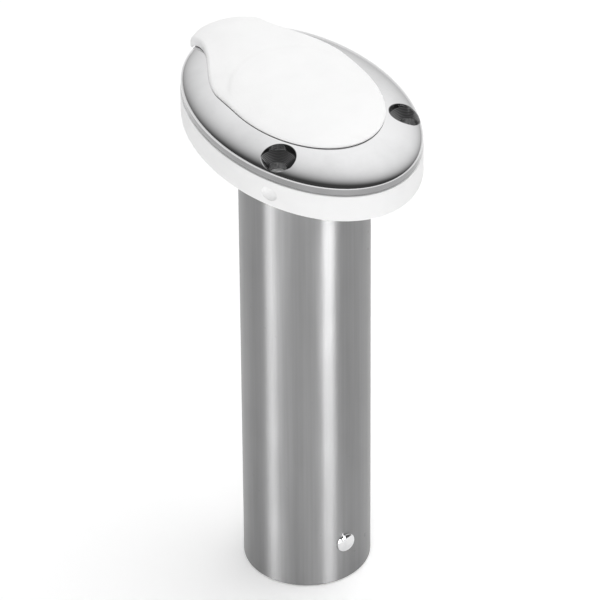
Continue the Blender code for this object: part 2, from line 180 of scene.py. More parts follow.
class Finishes(bpy.types.PropertyGroup):
    """Colours of the finishes."""
    polished: paint("Polished steel", "Mirror finish of the flange", (0.66, 0.66, 0.665))
    # The turned rings are real; the dark base colour is painted shade of the countersinks' recesses.
    machined: paint("Machined steel", "Turned finish of the countersinks", (0.30, 0.30, 0.303))
    # Painted shade: the rim has the same polish as the dome, and this darker colour stands in for the
    # shade on its wall.
    rim: paint("Rim steel", "Fine polished wall of the flange", (0.34, 0.34, 0.343))
    # Painted shade: the satin colour is darkened to stand in for the dark studio that the tube reflects.
    satin: paint("Satin steel", "Fine brushed finish of the tube", (0.285, 0.285, 0.287))
    weld: paint("Weld steel", "Weld under the flange", (0.42, 0.41, 0.40))
    pin: paint("Pin steel", "Drawn finish of the cross pin", (0.60, 0.60, 0.605))
    knob: paint("Knob steel", "Polished ends of the cross pin", (0.74, 0.74, 0.745))
    cap: paint("Cap white", "Soft moulded plastic of the cap", (0.955, 0.955, 0.955))
    gasket: paint("Gasket white", "Soft moulded plastic of the gasket", (0.94, 0.94, 0.94))
    liner: paint("Liner white", "Hard plastic of the liner", (0.88, 0.88, 0.875))


class Studio(bpy.types.PropertyGroup):
    """Camera and floor of the studio."""
    azimuth: angle("Azimuth", "Camera's turn about the tube", 59.286)
    elevation: angle("Elevation", "Camera's height above the deck", 35.549)
    roll: angle("Roll", "Camera's roll", -0.472)
    distance: length("Distance", "Camera to the aim point", 1.8953)
    lens: FloatProperty(name="Lens", description="Focal length in millimetres", default=309.92)
    aim_side: FloatProperty(name="Aim side", description="Aim point beside the axis",
                            default=-0.00197, unit="LENGTH", precision=5)
    aim_height: FloatProperty(name="Aim height", description="Aim point along the axis",
                              default=-0.0696, unit="LENGTH", precision=5)
    floor: paint("Floor", "Pale studio floor", (0.93, 0.93, 0.93))
    floor_radius: length("Floor radius", "Radius of the floor", 9.0)


# Shapes that several pieces share


def link(name, body):
    """Put a bmesh into the scene as an object with its faces pointing out."""
    bmesh.ops.recalc_face_normals(body, faces=body.faces)
    mesh = bpy.data.meshes.new(name)
    body.to_mesh(mesh)
    body.free()
    item = bpy.data.objects.new(name, mesh)
    bpy.context.scene.collection.objects.link(item)
    return item


def turned(name, profile, steps, stretch=(1.0, 1.0), centre=(0.0, 0.0, 0.0), closed=False):
    """Spin a profile of (radius, height) points about Z, then stretch and place it."""
    body = bmesh.new()
    points = [body.verts.new((radius, 0.0, height)) for radius, height in profile]
    edges = [body.edges.new(pair) for pair in zip(points, points[1:])]
    if closed:
        edges.append(body.edges.new((points[-1], points[0])))
    bmesh.ops.spin(body, geom=points + edges, axis=(0, 0, 1), cent=(0, 0, 0), angle=TURN,
                   steps=steps, use_merge=True)
    bmesh.ops.remove_doubles(body, verts=body.verts, dist=MERGE)
    bmesh.ops.scale(body, vec=(stretch[0], stretch[1], 1.0), verts=body.verts)
    bmesh.ops.translate(body, vec=centre, verts=body.verts)
    return link(name, body)


def skinned(name, rings):
    """Skin closed rings of equally many points, and close both ends."""
    body = bmesh.new()
    loops = [[body.verts.new(point) for point in ring] for ring in rings]
    count = len(loops[0])
    for lower, upper in zip(loops, loops[1:]):
        for i in range(count):
            j = (i + 1) % count
            body.faces.new((lower[i], lower[j], upper[j], upper[i]))
    body.faces.new(loops[0])
    body.faces.new(loops[-1])
    return link(name, body)


def applied(item):
    """The object with its modifiers and its place made part of its mesh."""
    bpy.context.view_layer.update()
    graph = bpy.context.evaluated_depsgraph_get()
    mesh = bpy.data.meshes.new_from_object(item.evaluated_get(graph))
    mesh.transform(item.matrix_world)
    item.modifiers.clear()
    item.matrix_world = Matrix.Identity(4)
    item.data = mesh
    return item


def boolean(item, tool, operation="DIFFERENCE"):
    """Boolean with a tool that is removed afterwards."""
    step = item.modifiers.new("Boolean", "BOOLEAN")
    step.operation = operation
    step.solver = "EXACT"
    step.object = tool
    applied(item)
    bpy.data.objects.remove(tool, do_unlink=True)
    return item


def gathered(tools):
    """Several cutters that don't touch, as one object."""
    body = bmesh.new()
    for tool in tools:
        body.from_mesh(tool.data)
        bpy.data.objects.remove(tool, do_unlink=True)
    return link("cutters", body)


def shade(item):
    """Smooth faces with sharp corners."""
    item.data.shade_smooth()
    item.data.set_sharp_from_angle(angle=SHARP)


def vertex_places(mesh):
    """Places of a mesh's vertices, one row each."""
    points = np.empty(len(mesh.vertices) * 3)
    mesh.vertices.foreach_get("co", points)
    return points.reshape(-1, 3)


def true_normals(item, on_surface, direction):
    """Give the faces that lie on a known surface that surface's own normals."""
    mesh = item.data
    points = vertex_places(mesh)
    lies = on_surface(points)
    normals = np.zeros((len(mesh.loops), 3))
    for face in mesh.polygons:
        corners = list(face.vertices)
        if lies[corners].all():
            normals[face.loop_start:face.loop_start + face.loop_total] = direction(points[corners])
    mesh.normals_split_custom_set(normals.tolist())


def unit(vectors):
    return vectors / np.linalg.norm(vectors, axis=1, keepdims=True)


def arc(centre, radius, start, end, steps):
    """Points of an arc in the profile plane, from one angle in degrees to another."""
    points = []
    for i in range(steps + 1):
        turn = math.radians(start + (end - start) * i / steps)
        points.append((centre[0] + radius * math.cos(turn), centre[1] + radius * math.sin(turn)))
    return points


def smooth(value):
    value = np.clip(value, 0.0, 1.0)
    return value * value * (3.0 - 2.0 * value)


def steel_sizes():
    return bpy.context.scene.rod_holder_steel


def soft_sizes():
    return bpy.context.scene.rod_holder_soft


def finishes():
    return bpy.context.scene.rod_holder_finishes


def dome_height(x, y, rise=None, grow=0.0):
    """Height of the flange's dome, or of a form set off from it, at a place in plan."""
    sizes = steel_sizes()
    rise = sizes.dome_rise if rise is None else rise
    share = ((x - FLANGE_CENTRE) / (HALF_LENGTH + grow)) ** 2 + (y / (HALF_WIDTH + grow)) ** 2
    return FLANGE_LOW.z + sizes.rim_height + rise * np.sqrt(np.maximum(1.0 - share, 0.0))


def screw_places():
    sizes = steel_sizes()
    for turn in (sizes.screw_angle, -sizes.screw_angle, math.pi):
        x = FLANGE_CENTRE + (HALF_LENGTH - sizes.screw_inset) * math.cos(turn)
        y = (HALF_WIDTH - sizes.screw_inset) * math.sin(turn)
        yield x, y


def place_piece(item, body, material, slot, *nodes):
    """Give a finished piece its material, its body and the nodes that it stands for."""
    item.data.materials.clear()
    item.data.materials.append(material)
    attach(item, body)
    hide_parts(*nodes)


# Shader node groups and materials


def new_group(name, inputs, outputs):
    """Empty node group with float sockets."""
    group = bpy.data.node_groups.new(name, "ShaderNodeTree")
    for label, default in inputs:
        socket = group.interface.new_socket(label, in_out="INPUT", socket_type="NodeSocketFloat")
        socket.default_value = default
    for label in outputs:
        group.interface.new_socket(label, in_out="OUTPUT", socket_type="NodeSocketFloat")
    return group, group.nodes.new("NodeGroupInput"), group.nodes.new("NodeGroupOutput")


def add(tree, kind, inputs=None, **settings):
    """New node, with its settings and with its inputs set or linked."""
    node = tree.nodes.new(kind)
    for key, value in settings.items():
        setattr(node, key, value)
    for key, value in (inputs or {}).items():
        if isinstance(value, bpy.types.NodeSocket):
            tree.links.new(value, node.inputs[key])
        else:
            node.inputs[key].default_value = value
    return node


def maths(tree, operation, first, second=0.0):
    return add(tree, "ShaderNodeMath", {0: first, 1: second}, operation=operation).outputs[0]


def spread(tree, value, low, high, to_low=0.0, to_high=1.0):
    """Map a range of values to another, held at its ends."""
    return add(tree, "ShaderNodeMapRange", {"Value": value, "From Min": low, "From Max": high,
                                            "To Min": to_low, "To Max": to_high}).outputs[0]


def noise(tree, place, scale, detail=3.0, roughness=0.55):
    return add(tree, "ShaderNodeTexNoise", {"Vector": place, "Scale": scale, "Detail": detail,
                                            "Roughness": roughness}).outputs[0]


def object_place(tree):
    return add(tree, "ShaderNodeTexCoord").outputs["Object"]


def grain_group():
    """Fine moulded or cast grain: a height, and a slow mottle."""
    group, given, out = new_group("Fine Grain", [("Per Metre", 4000.0)], ["Height", "Mottle"])
    place = object_place(group)
    fine = noise(group, place, given.outputs["Per Metre"], 2.0)
    coarse = noise(group, place, maths(group, "MULTIPLY", given.outputs["Per Metre"], 0.3), 2.0)
    height = maths(group, "ADD", maths(group, "MULTIPLY", fine, 0.65),
                   maths(group, "MULTIPLY", coarse, 0.35))
    group.links.new(height, out.inputs["Height"])
    slow = noise(group, place, 90.0, 4.0)
    group.links.new(spread(group, slow, 0.35, 0.65), out.inputs["Mottle"])
    return group


def lines_group():
    """Fine polishing lines drawn along Z, as a height and as two bands of streaks."""
    group, given, out = new_group("Drawn Lines", [("Across", 2600.0), ("Along", 14.0)],
                                  ["Height", "Streaks", "Bands"])
    place = add(group, "ShaderNodeSeparateXYZ", {0: object_place(group)})

    def streaks(share):
        across = maths(group, "MULTIPLY", given.outputs["Across"], share)
        x = maths(group, "MULTIPLY", place.outputs["X"], across)
        y = maths(group, "MULTIPLY", place.outputs["Y"], across)
        z = maths(group, "MULTIPLY", place.outputs["Z"], given.outputs["Along"])
        vector = add(group, "ShaderNodeCombineXYZ", {"X": x, "Y": y, "Z": z}).outputs[0]
        return noise(group, vector, 1.0, 3.0)

    group.links.new(streaks(1.0), out.inputs["Height"])
    group.links.new(spread(group, streaks(0.35), 0.36, 0.64), out.inputs["Streaks"])
    group.links.new(spread(group, streaks(0.06), 0.36, 0.64), out.inputs["Bands"])
    return group


def handling_group():
    """Marks of handling: soft smudges, and small sparse scuffs."""
    group, given, out = new_group("Handling Marks", [("Per Metre", 60.0), ("Scuff Share", 0.3)],
                                  ["Smudge", "Scuff"])
    place = object_place(group)
    cloud = noise(group, place, given.outputs["Per Metre"], 5.0, 0.6)
    group.links.new(spread(group, cloud, 0.48, 0.70), out.inputs["Smudge"])
    spots = noise(group, place, maths(group, "MULTIPLY", given.outputs["Per Metre"], 9.0), 2.0)
    where = noise(group, place, maths(group, "MULTIPLY", given.outputs["Per Metre"], 0.8), 1.0)
    edge = maths(group, "SUBTRACT", 0.86, maths(group, "MULTIPLY", given.outputs["Scuff Share"], 0.3))
    spot = maths(group, "GREATER_THAN", spots, edge)
    near = spread(group, where, 0.5, 0.6)
    group.links.new(maths(group, "MULTIPLY", spot, near), out.inputs["Scuff"])
    return group


def effect(name):
    makers = {"Fine Grain": grain_group, "Drawn Lines": lines_group, "Handling Marks": handling_group}
    return bpy.data.node_groups.get(name) or makers[name]()


def place_effect(tree, name, **values):
    node = tree.nodes.new("ShaderNodeGroup")
    node.node_tree = effect(name)
    for key, value in values.items():
        node.inputs[key.replace("_", " ")].default_value = value
    return node


def new_material(name, **sockets):
    """Material with its Principled shader's plain values set."""
    material = bpy.data.materials.new(name)
    material.use_nodes = True
    tree = material.node_tree
    shader = tree.nodes["Principled BSDF"]
    for key, value in sockets.items():
        shader.inputs[key.replace("_", " ")].default_value = value
    return material, tree, shader


def mixed(tree, first, second, mask):
    """Blend of two colours by a mask."""
    node = tree.nodes.new("ShaderNodeMix")
    node.data_type = "RGBA"
    tree.links.new(mask, node.inputs["Factor"])
    for socket, value in zip((node.inputs[6], node.inputs[7]), (first, second)):
        socket.default_value = (*value, 1.0)
    return node.outputs[2]


def raised(tree, shader, height, distance, strength=1.0):
    """Bump on the shader's normal."""
    bump = add(tree, "ShaderNodeBump", {"Strength": strength, "Distance": distance, "Height": height})
    tree.links.new(bump.outputs[0], shader.inputs["Normal"])


def darker(colour, share):
    return tuple(channel * share for channel in colour)


def polished_steel():
    """Mirror-polished casting: faint polishing haze, smudges and a slight waviness."""
    colour = finishes().polished
    material, tree, shader = new_material("polished_steel", Metallic=1.0)
    marks = place_effect(tree, "Handling Marks", Per_Metre=45.0, Scuff_Share=0.12)
    grain = place_effect(tree, "Fine Grain", Per_Metre=420.0)
    tree.links.new(mixed(tree, colour, darker(colour, 0.93), marks.outputs["Smudge"]),
                   shader.inputs["Base Color"])
    haze = spread(tree, marks.outputs["Smudge"], 0.0, 1.0, 0.055, 0.10)
    haze = maths(tree, "ADD", haze, maths(tree, "MULTIPLY", marks.outputs["Scuff"], 0.12))
    tree.links.new(haze, shader.inputs["Roughness"])
    raised(tree, shader, grain.outputs["Height"], 0.000012)
    return material


def machined_steel_painted_shade():
    """Turned countersink: rings about each screw's own axis, on a dark base colour that is painted shade
    of the recess.
    """
    colour = finishes().machined
    material, tree, shader = new_material("machined_steel_painted_shade", Metallic=1.0)
    reach = add(tree, "ShaderNodeAttribute", attribute_name="screw_distance").outputs["Fac"]
    grain = place_effect(tree, "Fine Grain", Per_Metre=1500.0)
    rings = maths(tree, "SINE", maths(tree, "MULTIPLY", reach, 15700.0))
    wander = maths(tree, "MULTIPLY", grain.outputs["Mottle"], 0.5)
    rings = maths(tree, "ADD", maths(tree, "MULTIPLY", rings, 0.5), wander)
    tree.links.new(mixed(tree, darker(colour, 0.72), colour, spread(tree, rings, -0.4, 0.8)),
                   shader.inputs["Base Color"])
    tree.links.new(spread(tree, rings, -0.4, 0.8, 0.34, 0.20), shader.inputs["Roughness"])
    raised(tree, shader, rings, 0.000035, 0.8)
    return material


def rim_steel_painted_shade():
    """Wall round the flange: polished along its length, with fine drawn lines, on a darker copy of the
    dome's steel colour that paints shade on the wall.
    """
    colour = finishes().rim
    material, tree, shader = new_material("rim_steel_painted_shade", Metallic=1.0)
    marks = place_effect(tree, "Handling Marks", Per_Metre=90.0, Scuff_Share=0.2)
    grain = place_effect(tree, "Fine Grain", Per_Metre=1400.0)
    tree.links.new(mixed(tree, darker(colour, 0.88), colour, grain.outputs["Mottle"]),
                   shader.inputs["Base Color"])
    tree.links.new(spread(tree, marks.outputs["Smudge"], 0.0, 1.0, 0.16, 0.24),
                   shader.inputs["Roughness"])
    raised(tree, shader, grain.outputs["Height"], 0.000008)
    return material


def satin_steel_with_painted_shade():
    """Fine satin of the tube: lines along it, slow bands, and a few handling scuffs, on a base colour
    darkened as painted shade for the dark studio that the tube reflects.
    """
    colour = finishes().satin
    material, tree, shader = new_material("brushed_steel", Metallic=1.0, Anisotropic=0.95,
                                          Anisotropic_Rotation=0.25)
    tangent = add(tree, "ShaderNodeTangent", direction_type="RADIAL", axis="Z")
    tree.links.new(tangent.outputs[0], shader.inputs["Tangent"])
    lines = place_effect(tree, "Drawn Lines", Across=2600.0, Along=9.0)
    marks = place_effect(tree, "Handling Marks", Per_Metre=38.0, Scuff_Share=0.5)
    tone = maths(tree, "ADD", maths(tree, "MULTIPLY", lines.outputs["Streaks"], 0.35),
                 maths(tree, "MULTIPLY", lines.outputs["Bands"], 0.65))
    base = mixed(tree, darker(colour, 0.90), darker(colour, 1.06), tone)
    tree.links.new(base, shader.inputs["Base Color"])
    rough = spread(tree, marks.outputs["Smudge"], 0.0, 1.0, 0.345, 0.385)
    rough = maths(tree, "ADD", rough, maths(tree, "MULTIPLY", marks.outputs["Scuff"], 0.15))
    tree.links.new(rough, shader.inputs["Roughness"])
    raised(tree, shader, lines.outputs["Height"], 0.000004)
    return material


def weld_steel():
    """Bright fillet weld with heat-tinted ripples."""
    colour = finishes().weld
    material, tree, shader = new_material("weld_steel", Metallic=1.0)
    grain = place_effect(tree, "Fine Grain", Per_Metre=900.0)
    marks = place_effect(tree, "Handling Marks", Per_Metre=160.0, Scuff_Share=0.2)
    tree.links.new(mixed(tree, colour, (0.30, 0.25, 0.19), marks.outputs["Smudge"]),
                   shader.inputs["Base Color"])
    tree.links.new(spread(tree, grain.outputs["Mottle"], 0.0, 1.0, 0.32, 0.5),
                   shader.inputs["Roughness"])
    raised(tree, shader, grain.outputs["Height"], 0.0001)
    return material


def round_steel(name, colour, smooth_value, rough_value):
    """Small round steel: pin and its polished ends."""
    material, tree, shader = new_material(name, Metallic=1.0)
    marks = place_effect(tree, "Handling Marks", Per_Metre=150.0, Scuff_Share=0.3)
    grain = place_effect(tree, "Fine Grain", Per_Metre=2500.0)
    tree.links.new(mixed(tree, colour, darker(colour, 0.86), marks.outputs["Smudge"]),
                   shader.inputs["Base Color"])
    tree.links.new(spread(tree, grain.outputs["Mottle"], 0.0, 1.0, smooth_value, rough_value),
                   shader.inputs["Roughness"])
    raised(tree, shader, grain.outputs["Height"], 0.000006)
    return material


def moulded_white(name, colour, per_metre, depth, low, high):
    """White moulded plastic: fine grain, a slow mottle and soft handling marks."""
    material, tree, shader = new_material(name, Specular_IOR_Level=0.42)
    grain = place_effect(tree, "Fine Grain", Per_Metre=per_metre)
    marks = place_effect(tree, "Handling Marks", Per_Metre=70.0, Scuff_Share=0.25)
    mask = maths(tree, "ADD", maths(tree, "MULTIPLY", grain.outputs["Mottle"], 0.6),
                 maths(tree, "MULTIPLY", marks.outputs["Smudge"], 0.4))
    tree.links.new(mixed(tree, colour, darker(colour, 0.965), mask), shader.inputs["Base Color"])
    rough = spread(tree, marks.outputs["Smudge"], 0.0, 1.0, low, high)
    tree.links.new(rough, shader.inputs["Roughness"])
    raised(tree, shader, grain.outputs["Height"], depth)
    return material


# Steel pieces


def sink_radius_at(x, y, turn):
    """Where a countersink's cone meets the dome in one direction: its radius there."""
    sizes = steel_sizes()
    seat = dome_height(x, y) - sizes.sink_land
    low, high = sizes.screw_radius, sizes.sink_radius

    def above(radius):
        surface = dome_height(x + radius * math.cos(turn), y + radius * math.sin(turn))
        return surface - (seat - (sizes.sink_radius - radius))

    if above(high) > 0.0:
        return high
    for _ in range(30):
        middle = (low + high) / 2
        if above(middle) > 0.0:
            low = middle
        else:
            high = middle
    return low


def sink_tool(x, y, steps=120):
    """Cutter of one screw hole: bore, cone, and an edge softened along the dome's own surface."""
    sizes = steel_sizes()
    seat = dome_height(x, y) - sizes.sink_land
    edge = sizes.hole_edge
    bottom = FLANGE_LOW.z - 2 * sizes.dome_rise
    top = FLANGE_HIGH.z + 2 * sizes.dome_rise
    levels = [[] for _ in range(8)]
    for i in range(steps):
        turn = TURN * i / steps
        reach = sink_radius_at(x, y, turn)
        cone = seat - (sizes.sink_radius - reach)

        def point(radius, height):
            return (x + radius * math.cos(turn), y + radius * math.sin(turn), height)

        def surface(radius):
            return dome_height(x + radius * math.cos(turn), y + radius * math.sin(turn))

        meet = surface(reach)
        levels[0].append(point(sizes.screw_radius, bottom))
        levels[1].append(point(sizes.screw_radius, seat - (sizes.sink_radius - sizes.screw_radius)))
        levels[2].append(point(reach - 1.2 * edge, cone - 1.2 * edge))
        levels[3].append(point(reach - 0.02 * edge, min(cone, meet - 0.9 * edge)))
        levels[4].append(point(reach + 0.12 * edge, meet - 0.42 * edge))
        levels[5].append(point(reach + 0.45 * edge, surface(reach + 0.45 * edge) - 0.12 * edge))
        levels[6].append(point(reach + 1.1 * edge, surface(reach + 1.1 * edge) + 0.16 * edge))
        levels[7].append(point(reach + 1.1 * edge, top))
    return skinned("sink_tool", levels)


def oval_edge(width, level, edge, turns):
    """Rounding of an oval's edge, as shares of the oval and heights. A negative edge is an upper one."""
    points = []
    for turn in turns:
        swing = math.radians(turn)
        share = 1.0 - abs(edge) / width * (1.0 - math.cos(swing))
        points.append((share, level + edge * (1.0 - math.sin(swing))))
    return points


def flange_form(name, low, rim, rise, half_length, half_width, rings, steps, edge=0.0):
    """Oval dome on a straight wall, with an optional rounding at the lower edge."""
    profile = []
    for i in range(rings + 1):
        turn = math.pi / 2 * i / rings
        profile.append((math.sin(turn), rim + rise * max(math.cos(turn), 0.0)))
    profile[0] = (0.0, rim + rise)
    profile[-1] = (1.0, rim)
    if edge:
        profile += oval_edge(half_width, low, edge, range(0, 91, 15))
    else:
        profile.append((1.0, low))
    profile.append((0.0, low))
    return turned(name, profile, steps, (half_length, half_width), (FLANGE_CENTRE, 0.0, 0.0))


def lip_recess():
    return LINER_HIGH.x + steel_sizes().lip_gap


def flange_hollow(sizes):
    """Room under the casting, around the tube's collar and the three screw bosses."""
    wall = sizes.wall
    rise = sizes.rim_height + sizes.dome_rise - wall
    hollow = flange_form("hollow", FLANGE_LOW.z - rise, FLANGE_LOW.z, rise,
                         HALF_LENGTH - wall, HALF_WIDTH - wall, 14, 96)
    tools = [(0.0, 0.0, TUBE_HIGH.x + sizes.lip_gap + wall)]
    tools += [(x, y, sizes.screw_radius + 0.93 * wall) for x, y in screw_places()]
    for x, y, radius in tools:
        post = [(0.0, 3 * rise), (radius, 3 * rise), (radius, -3 * rise), (0.0, -3 * rise)]
        hollow = boolean(hollow, turned("post", post, 64, centre=(x, y, FLANGE_LOW.z)))
    return hollow


def mouth_tool(sizes):
    """Cutter of the flange's mouth: chamfer, lip recess, bore and tube socket."""
    recess = lip_recess()
    rim = float(dome_height(0.0, recess))
    floor = LINER_HIGH.z - soft_sizes().lip_thickness - sizes.lip_gap
    top = rim + 2 * sizes.dome_rise
    flare = sizes.mouth_flare
    socket = TUBE_HIGH.x + sizes.lip_gap
    ledge = FLANGE_LOW.z + sizes.socket_depth
    low = FLANGE_LOW.z - sizes.dome_rise
    profile = [(0.0, top), (recess + flare + top - rim, top), (recess, rim - flare), (recess, floor),
               (sizes.bore_radius, floor), (sizes.bore_radius, ledge), (socket, ledge),
               (socket, low), (0.0, low)]
    return turned("mouth_tool", profile, 192)


def build_flange():
    sizes = steel_sizes()
    rim = FLANGE_LOW.z + sizes.rim_height
    flange = flange_form("flange_dome", FLANGE_LOW.z, rim, sizes.dome_rise, HALF_LENGTH,
                         HALF_WIDTH, 60, sizes.facets, sizes.rim_edge)
    flange = boolean(flange, flange_hollow(sizes))
    tools = [mouth_tool(sizes)] + [sink_tool(x, y) for x, y in screw_places()]
    flange = boolean(flange, gathered(tools))
    shade(flange)

    def across(points):
        return np.stack(((points[:, 0] - FLANGE_CENTRE) / HALF_LENGTH, points[:, 1] / HALF_WIDTH,
                         (points[:, 2] - rim) / sizes.dome_rise), axis=1)

    def on_dome(points):
        share = (across(points) ** 2).sum(axis=1)
        return (np.abs(share - 1.0) < 4e-4) & (points[:, 2] > rim - 1e-6)

    def outward(points):
        return unit(across(points) / np.array([HALF_LENGTH, HALF_WIDTH, sizes.dome_rise]))

    true_normals(flange, on_dome, outward)
    return flange


def mark_countersinks(flange, material):
    """Give the faces inside the countersinks the machined finish, whose dark colour is painted shade, and
    their distance from the screw.
    """
    sizes = steel_sizes()
    mesh = flange.data
    mesh.materials.append(material)
    points = vertex_places(mesh)
    reach = np.full(len(points), 1.0)
    for x, y in screw_places():
        reach = np.minimum(reach, np.hypot(points[:, 0] - x, points[:, 1] - y))
    attribute = mesh.attributes.new("screw_distance", "FLOAT", "POINT")
    attribute.data.foreach_set("value", np.minimum(reach, 2 * sizes.sink_radius).astype(np.float32))
    ceiling = dome_height(points[:, 0], points[:, 1]) - 0.55 * sizes.hole_edge
    inside = (reach < sizes.sink_radius + 0.5 * sizes.hole_edge) & (points[:, 2] < ceiling)
    for face in mesh.polygons:
        if inside[list(face.vertices)].all() and face.area < 1e-5:
            face.material_index = 1


def mark_rim(flange, material):
    """Give the straight wall round the flange its own material, a darker copy of the polished steel that
    paints shade on the wall.
    """
    mesh = flange.data
    mesh.materials.append(material)
    points = vertex_places(mesh)
    share = ((points[:, 0] - FLANGE_CENTRE) / HALF_LENGTH) ** 2 + (points[:, 1] / HALF_WIDTH) ** 2
    top = FLANGE_LOW.z + steel_sizes().rim_height
    wall = (share > 0.97) & (points[:, 2] < top + 1e-6)
    for face in mesh.polygons:
        if wall[list(face.vertices)].all():
            face.material_index = 2


def build_tube():
    """Straight tube, rounded at the foot and drilled for the pin."""
    sizes = steel_sizes()
    radius = TUBE_HIGH.x
    inner = sizes.bore_radius
    edge = sizes.tube_edge
    profile = [(radius, TUBE_HIGH.z)]
    profile += arc((radius - edge, TUBE_LOW.z + edge), edge, 0, -90, 8)
    profile += arc((inner + edge, TUBE_LOW.z + edge), edge, -90, -180, 8)
    profile += [(inner, TUBE_HIGH.z)]
    tube = turned("tube_wall", profile, 224, closed=True)
    drill = lay_across(round_bar("drill", pin_radius() + sizes.lip_gap, 2 * radius, 0.0), 0.0)
    tube = boolean(tube, drill)
    shade(tube)

    def on_wall(points):
        return np.abs(np.hypot(points[:, 0], points[:, 1]) - radius) < 2e-6

    def outward(points):
        return unit(points * np.array([1.0, 1.0, 0.0]))

    true_normals(tube, on_wall, outward)
    return tube


def pin_radius():
    return (PIN_HIGH.z - PIN_LOW.z) / 2


def round_bar(name, radius, half, edge):
    """Bar along Z with eased ends."""
    profile = [(0.0, half), (radius - edge, half), (radius, half - edge), (radius, edge - half),
               (radius - edge, -half), (0.0, -half)]
    return turned(name, profile, 72)


def lay_across(item, reach, side=1):
    """Lay a piece made along Z across the tube at the pin's height, and keep it there."""
    turn = steel_sizes().pin_turn
    height = (PIN_LOW.z + PIN_HIGH.z) / 2
    item.rotation_euler = (0.0, side * math.pi / 2, turn)
    item.location = (side * reach * math.cos(turn), side * reach * math.sin(turn), height)
    return applied(item)


def build_pin():
    half = PIN_HIGH.x / math.cos(steel_sizes().pin_turn)
    bar = round_bar("gimbal_pin_bar", pin_radius(), half - PIN_END_ROOM, PIN_END_EDGE)
    pin = lay_across(bar, 0.0)
    shade(pin)
    return pin


def build_knob(side):
    """Polished dome over one end of the pin, on the tube's outer face."""
    radius = (KNOB_HIGH.z - KNOB_LOW.z) / 2
    reach = TUBE_HIGH.x
    rise = KNOB_HIGH.x / math.cos(steel_sizes().pin_turn) - reach
    profile = [(0.0, rise)]
    for i in range(1, 17):
        turn = math.pi / 2 * i / 16
        profile.append((radius * math.sin(turn), rise * math.cos(turn) ** 0.9))
    profile[-1] = (radius, 0.0)
    profile += [(radius - 0.0002, -KNOB_SKIRT), (0.0, -KNOB_SKIRT)]
    knob = lay_across(turned("knob", profile, 72), reach, side)
    height = (PIN_LOW.z + PIN_HIGH.z) / 2
    wide = reach + KNOB_CLEARANCE
    clear = [(0.0, 2 * radius), (wide, 2 * radius), (wide, -2 * radius), (0.0, -2 * radius)]
    knob = boolean(knob, turned("tube_clear", clear, 224, centre=(0.0, 0.0, height)))
    knob.name = "pin_knob_front" if side > 0 else "pin_knob_back"
    shade(knob)
    return knob


# White moulded pieces


def build_liner():
    """Sleeve with a rounded lip in the flange's recess."""
    sizes = soft_sizes()
    lip = LINER_HIGH.x
    outer = lip - sizes.lip_step
    inner = outer - sizes.liner_wall
    top, low = LINER_HIGH.z, LINER_LOW.z
    seat = top - sizes.lip_thickness
    edge, lead = LINER_EDGE, LINER_LEAD
    profile = arc((inner + lead, top - lead), lead, 180, 90, 6)
    profile += arc((lip - edge, top - edge), edge, 90, 0, 4)
    profile += [(lip, seat), (outer, seat), (outer, low + edge), (outer - edge, low),
                (inner + edge, low), (inner, low + edge)]
    liner = turned("liner_sleeve", profile, 192, closed=True)
    shade(liner)
    return liner


def ear_form():
    """Upright that carries the strap's hinge behind the gasket."""
    sizes = soft_sizes()
    post = FLANGE_LOW.x - sizes.strap_gap
    root = FLANGE_LOW.x + sizes.strap_wall
    half = WEB_HIGH.y + steel_sizes().lip_gap
    top = WEB_LOW.z - steel_sizes().lip_gap
    shelf = GASKET_HIGH.z - EAR_SHELF_DROP
    side = [(GASKET_LOW.x, EAR_RISE), (root, EAR_RISE), (root, shelf), (post, shelf),
            (post, top), (GASKET_LOW.x, top)]
    body = bmesh.new()
    near = [body.verts.new((x, -half, z)) for x, z in side]
    face = body.faces.new(near)
    out = bmesh.ops.extrude_face_region(body, geom=[face])
    moved = [item for item in out["geom"] if isinstance(item, bmesh.types.BMVert)]
    bmesh.ops.translate(body, vec=(0.0, 2 * half, 0.0), verts=moved)
    outer = [edge for edge in body.edges if all(v.co.x < post for v in edge.verts)]
    bmesh.ops.recalc_face_normals(body, faces=body.faces)
    bmesh.ops.bevel(body, geom=outer, offset=EAR_ROUNDING, segments=4, affect="EDGES", profile=0.5)
    return link("ear", body)


def build_gasket():
    """Thick oval pad with rounded edges, screw clearances, side dimples and the strap's ear."""
    sizes = soft_sizes()
    steel = steel_sizes()
    half_length = GASKET_HIGH.x - FLANGE_CENTRE
    width = GASKET_HIGH.y
    top = FLANGE_LOW.z - steel.lip_gap
    profile = [(0.0, top)]
    profile += oval_edge(width, top, -sizes.gasket_top_edge, range(90, -1, -15))
    profile += oval_edge(width, 0.0, sizes.gasket_edge, range(0, 91, 10))
    profile.append((0.0, 0.0))
    gasket = turned("gasket_pad", profile, 224, (half_length, width), (FLANGE_CENTRE, 0.0, 0.0))
    gasket = boolean(gasket, ear_form(), "UNION")
    socket = TUBE_HIGH.x + steel.lip_gap
    room = WELD_HIGH.x + steel.lip_gap
    floor = WELD_LOW.z - steel.lip_gap
    hole = [(0.0, 2 * top), (room, 2 * top), (room, floor), (socket, floor - room + socket),
            (socket, -top), (0.0, -top)]
    tools = [turned("tube_hole", hole, 160)]
    clear = steel.screw_radius + steel.lip_gap
    for x, y in screw_places():
        shaft = [(0.0, 2 * top), (clear, 2 * top), (clear, -top), (0.0, -top)]
        tools.append(turned("screw_clear", shaft, 64, centre=(x, y, 0.0)))
    for side in (-1, 1):
        x = FLANGE_CENTRE + half_length * math.cos(sizes.dimple_angle)
        y = side * width * math.sin(sizes.dimple_angle)
        body = bmesh.new()
        bmesh.ops.create_uvsphere(body, u_segments=48, v_segments=32, radius=1.0)
        dimple = link("dimple", body)
        dimple.scale = (sizes.dimple_depth, sizes.dimple_radius, DIMPLE_FLATNESS * sizes.dimple_radius)
        outward = math.atan2(y / width ** 2, (x - FLANGE_CENTRE) / half_length ** 2)
        dimple.rotation_euler = (0.0, 0.0, outward)
        dimple.location = (x, y, top / 2)
        tools.append(applied(dimple))
    gasket = boolean(gasket, gathered(tools))
    shade(gasket)
    return gasket


